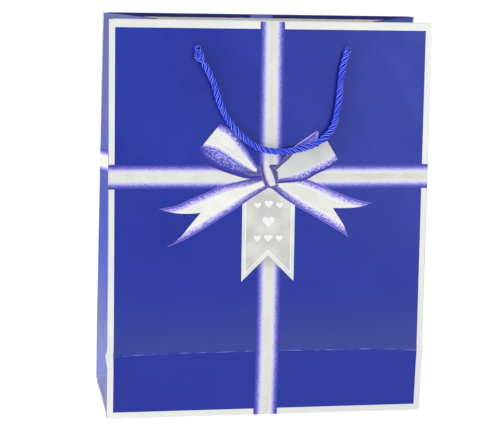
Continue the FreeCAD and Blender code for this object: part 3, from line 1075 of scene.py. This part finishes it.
def centre_line(points, step=0.55 * MM):
    """Evenly spaced points along the smooth NURBS line of a route."""
    data = bpy.data.curves.new("route", "CURVE")
    data.dimensions = "3D"
    data.resolution_u = 24
    spline = data.splines.new("NURBS")
    spline.points.add(len(points) - 1)
    for control, p in zip(spline.points, points):
        control.co = (p.x, p.y, p.z, 1)
    spline.order_u = 3
    spline.use_endpoint_u = True
    obj = link("route", data)
    mesh = bpy.data.meshes.new_from_object(obj)
    line = np.array([v.co for v in mesh.vertices])
    bpy.data.objects.remove(obj)
    bpy.data.curves.remove(data)
    bpy.data.meshes.remove(mesh)
    reach = np.concatenate([[0], np.cumsum(np.linalg.norm(np.diff(line, axis=0), axis=1))])
    count = int(round(reach[-1] / step)) + 1
    at = np.linspace(0, reach[-1], count)
    return np.stack([np.interp(at, reach, line[:, k]) for k in range(3)], axis=1), at


def normals_along(line):
    """Two normals along a line, which turn as little as they can."""
    tangents = np.gradient(line, axis=0)
    tangents /= np.linalg.norm(tangents, axis=1, keepdims=True)
    normal = np.cross(tangents[0], [0.0, 0.0, 1.0])
    if np.linalg.norm(normal) < 0.1:
        normal = np.cross(tangents[0], [0.0, 1.0, 0.0])
    firsts = []
    for t in tangents:
        normal = normal - t * (normal @ t)
        normal = normal / np.linalg.norm(normal)
        firsts.append(normal)
    firsts = np.array(firsts)
    return firsts, np.cross(tangents, firsts)


def strand_course(strand, line, at, normals, tapered_start, aside):
    """Centre line of a strand, its outward direction and its swelling."""
    turn = 2 * math.pi * (at / TWIST_PITCH + strand / STRANDS)
    outward = normals[0] * np.cos(turn)[:, None] + normals[1] * np.sin(turn)[:, None]
    swell = np.ones(len(at))
    if tapered_start:
        swell = np.clip(at / TIP_LENGTH, 0.1, 1.0) ** 0.5 * np.where(at < HOLE_SWELL_LENGTH, HOLE_SWELL, 1.0)
    centre = line + outward * (LAY_RADIUS * swell)[:, None]
    if strand == 0 and aside is not None:
        share = (np.sin(np.pi * np.clip(at / OPENING, 0, 1)) ** 2)[:, None]
        centre = centre * (1 - share) + (line + np.array(aside) * (LAY_RADIUS + STAND_OFF)) * share
        # Over the opening, the strand's UV turns so that its side without the painted groove shade faces out from
        # the wall.
        outward = outward * (1 - share) + np.array([0.0, aside[0], 0.0]) * share
    return centre, outward, swell


def rope_mesh(name, points, fibre, tapered_start=False, aside=None):
    """A twisted rope along a route: three strands, each with its own fine yarns. The first one may start off to
    a side."""
    line, at = centre_line(points)
    normals = normals_along(line)
    vertices, faces, uvs = [], [], []
    for strand in range(STRANDS):
        centre, outward, swell = strand_course(strand, line, at, normals, tapered_start, aside)
        direction = np.gradient(centre, axis=0)
        direction /= np.linalg.norm(direction, axis=1, keepdims=True)
        side_a = outward - direction * np.sum(outward * direction, axis=1, keepdims=True)
        side_a /= np.linalg.norm(side_a, axis=1, keepdims=True)
        side_b = np.cross(direction, side_a)
        base = len(vertices)
        for i, (c, a, b) in enumerate(zip(centre, side_a, side_b)):
            for k in range(STRAND_SIDES):
                angle = 2 * math.pi * k / STRAND_SIDES
                ridge = 1 + YARN_RIDGE * math.cos(YARNS * angle + at[i] / YARN_LAY)
                r = STRAND_RADIUS * ridge * swell[i]
                vertices.append(c + a * math.cos(angle) * r + b * math.sin(angle) * r)
                uvs.append((k / STRAND_SIDES, at[i]))
        for i in range(len(at) - 1):
            for k in range(STRAND_SIDES):
                a = base + i * STRAND_SIDES + k
                b = base + i * STRAND_SIDES + (k + 1) % STRAND_SIDES
                faces.append((a, b, b + STRAND_SIDES, a + STRAND_SIDES))
        faces.append(tuple(base + k for k in reversed(range(STRAND_SIDES))))
        last = base + (len(at) - 1) * STRAND_SIDES
        faces.append(tuple(last + k for k in range(STRAND_SIDES)))
    rope = mesh_object(name, vertices, faces, uvs, [fibre], rounded=[len(f) == 4 for f in faces])
    return rope, line, float(at[-1])


def handle(side, fibre):
    name = wall_name(side)
    points = [wall_point(side, x * MM, up * MM, out * MM) for x, up, out in HANDLE_ROUTE]
    rope, line, length = rope_mesh(f"{name}_handle_cord", points, fibre, aside=(-side, 0, 0))
    stand_for(rope, "rope", f"{name}_handle", f"{name}_handle_rope")
    # A piece's left and right are as seen facing its wall, and the CAD's are as seen from the front
    for hand in (-1, 1):
        route = [wall_point(side, hand * HOLE_X + hand * x * MM, HOLE_UP + up * MM, out * MM)
                 for x, up, out in KNOT_ROUTE]
        piece = f"{name}_{hand_name(hand)}_rope_knot"
        knot = rope_mesh(piece, route, fibre, tapered_start=True)[0]
        stand_for(knot, "rope", f"{name}_wall", f"{name}_{hand_name(hand * side)}_knot")


# ---- base

def plan_slab(name, outline, low, high, materials):
    """A flat flap with the given outline in plan: its underside shows the print."""
    vertices = [(x, y, low) for x, y in outline] + [(x, y, high) for x, y in outline]
    n = len(outline)
    faces = [tuple(reversed(range(n))), tuple(range(n, 2 * n))]
    faces += [(i, (i + 1) % n, n + (i + 1) % n, n + i) for i in range(n)]
    uvs = [(x, -CREASE + y * 0.3) for x, y, z in vertices]
    return mesh_object(name, vertices, faces, uvs, materials, [1 if i == 1 else 0 for i in range(len(faces))])


def cut_corners(outline):
    """An outline in plan, with its points at the bag's corners cut as the corner folds' feet are."""
    cut = []
    for i, (x, y) in enumerate(outline):
        side, hand = (FRONT if y < 0 else REAR), (-1 if x < 0 else 1)
        foot = FOOT[side, hand]
        if HALF_W - abs(x) > foot or HALF_D - abs(y) > CORNER / 2:
            cut.append((x, y))
            continue
        ends = [(hand * (HALF_W - foot), y), (x, -side * (HALF_D - CORNER))]
        before = outline[i - 1]
        cut += ends if abs(before[0] - x) > abs(before[1] - y) else ends[::-1]
    return cut


def base_flaps(blue, white):
    for flap in ("front", "rear", "left", "right"):
        node = f"bottom_flap_{flap}"
        low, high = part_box(node)
        if flap in ("left", "right"):
            outline = [(low.x, low.y), (high.x, low.y), (high.x, high.y), (low.x, high.y)]
        else:
            reach = high.y - low.y
            wide, narrow = (low.y, high.y) if flap == "front" else (high.y, low.y)
            outline = [(low.x, wide), (high.x, wide), (high.x - reach, narrow), (low.x + reach, narrow)]
            if flap == "rear":
                outline.reverse()
        obj = plan_slab(f"{flap}_base_flap", cut_corners(outline), low.z, high.z, [blue, white])
        stand_for(obj, "printed_paper", "tray", node)


def keep_cad(node, material):
    """Shows a CAD piece as it is, with its edges just rounded."""
    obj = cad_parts[node]
    obj.data.materials.clear()
    obj.data.materials.append(material)
    rounding = obj.modifiers.new("edges", "BEVEL")
    rounding.width = 0.15 * MM
    rounding.segments = 2
    rounding.limit_method = "ANGLE"


# ---- stage

WORLD_STRENGTH = 0.56
FLOOR_HALF = 8.0          # metres, like the softboxes
FLOOR_GREY = 0.3
FLOOR_GLOW = 0.88
# Each softbox's place from the bag's middle, width, height and power in watts
SOFTBOXES = {"left_softbox": ((-1.6, -0.25, 0.32), 1.9, 0.9, 18),
             "right_softbox": ((0.95, -1.8, 0.35), 0.8, 0.8, 6.5),
             "top_softbox": ((0.1, -0.45, 2.4), 3.0, 3.0, 16)}


def studio():
    scene = bpy.context.scene
    scene.view_settings.view_transform = "Standard"
    world = bpy.data.worlds.new("studio")
    world.use_nodes = True
    background = world.node_tree.nodes["Background"].inputs
    background["Color"].default_value = (1, 1, 1, 1)
    background["Strength"].default_value = WORLD_STRENGTH
    scene.world = world

    paint = Shader("floor", Roughness=1.0, Specular_IOR_Level=0.0, Base_Color=(FLOOR_GREY,) * 3 + (1,),
                   Emission_Color=(1, 1, 1, 1), Emission_Strength=FLOOR_GLOW)
    mesh = bpy.data.meshes.new("floor")
    corners = [(-1, -1), (1, -1), (1, 1), (-1, 1)]
    mesh.from_pydata([(x * FLOOR_HALF, y * FLOOR_HALF, 0) for x, y in corners], [], [(0, 1, 2, 3)])
    mesh.materials.append(paint.material)
    floor = link("floor", mesh)
    floor.location.z = CAD_BOX[0].z - 0.1 * MM

    centre = (CAD_BOX[0] + CAD_BOX[1]) / 2
    for name, (place, width, height, power) in SOFTBOXES.items():
        offset = Vector(place)
        lamp = bpy.data.lights.new(name, "AREA")
        lamp.shape = "RECTANGLE"
        lamp.size, lamp.size_y = width, height
        lamp.energy = power
        obj = link(name, lamp)
        obj.location = centre + offset
        obj.rotation_euler = (-offset).to_track_quat("-Z", "Y").to_euler()


CAMERA_AT = Vector((-247.1, -1281.7, 444.2)) * MM
CAMERA_HEADING = math.radians(10.565)      # turned towards +X from straight along +Y
CAMERA_DIP = math.radians(12.468)
CAMERA_ROLL = math.radians(1.83)
CAMERA_LENS = 115.88


def camera():
    data = bpy.data.cameras.new("camera")
    data.lens = CAMERA_LENS
    data.sensor_width = 36        # millimetres, like the lens
    obj = link("camera", data)
    look = Matrix.Rotation(-CAMERA_HEADING, 4, "Z") @ Matrix.Rotation(math.pi / 2 - CAMERA_DIP, 4, "X")
    obj.matrix_world = Matrix.Translation(CAMERA_AT) @ look @ Matrix.Rotation(CAMERA_ROLL, 4, "Z")
    bpy.context.scene.camera = obj


# ---- build

def build():
    camera()
    studio()
    fibre = rope_fibre()
    blue, white = blue_print_and_sheen(), white_paper()
    # Painted shade: the rear turn-in's fold, and the gussets' turn-ins that share it, are painted a dark blue as
    # they lie in the mouth's shade.
    inner = {FRONT: turned_in("front_turned_in", SILVER), REAR: turned_in("rear_turned_in", rgb(34, 40, 118))}
    foil, board = silver_foil(), card_board()
    ribbon = glitter_print("ribbon_print", STRAIGHT, stipple=0.2, shadow=(68 * MM, 82 * MM))
    looks = {"loop": glitter_print("bow_loop_print", LOOSE, dark_band=0.03),
             "deep": glitter_print("bow_deep_print", DEEP, dark_band=0.03),
             "tail": glitter_print("bow_tail_print", LOOSE, dark_band=0.04),
             "under": glitter_print("bow_under_print", UNDER, 0.55, 0.75, dark_band=0.035,
                                    faded=(44 * MM, 56 * MM)),
             "tip": glitter_print("bow_tip_print", TIP, stipple=0.3),
             "shade": glitter_print("bow_shade_print", SHADE, stipple=0.25),
             "knot": glitter_print("bow_knot_print", KNOT, stipple=0.3),
             "creased": glitter_print("bow_crease_print", CREASED, stipple=0.0)}
    tag_looks = (tag_print("tag_rim_print", rgb(204, 210, 208), rgb(220, 223, 219)),
                 tag_print("tag_face_print", rgb(184, 185, 180), rgb(208, 207, 202)),
                 plain_print("tag_line_print", rgb(232, 236, 230)),
                 plain_print("tag_mark_print", rgb(228, 230, 224)))
    # Lit and shaded copies: the left gusset's mouth is painted a paler, greyer blue than the right one's, as
    # painted sheen on the side that faces the light.
    sides = {-1: gusset_print_and_sheen("left_gusset_print_and_sheen", rgb(98, 104, 160)),
             1: gusset_print_and_sheen("right_gusset_print_and_sheen", rgb(66, 76, 158))}
    for side in (FRONT, REAR):
        handle(side, fibre)
        wall_sheet(side, blue, white)
        turn_in(side, inner[side], white)
        border(side, foil)
        ribbon_cross(side, ribbon)
        tag(side, *tag_looks)
        bow(side, looks)
        for hand in (-1, 1):
            gusset_half(hand, side, sides[hand], white)
            gusset_turn_in(hand, side, inner[REAR], white)
            gusset_ribbon(hand, side, ribbon)
    for hand in (-1, 1):
        lower_gusset(hand, sides[hand], white)
    base_flaps(blue, white)
    for node in ("bottom_board", "front_reinforcement_card", "rear_reinforcement_card",
                 "glue_lap_lower", "glue_lap_upper"):
        keep_cad(node, board)


build()
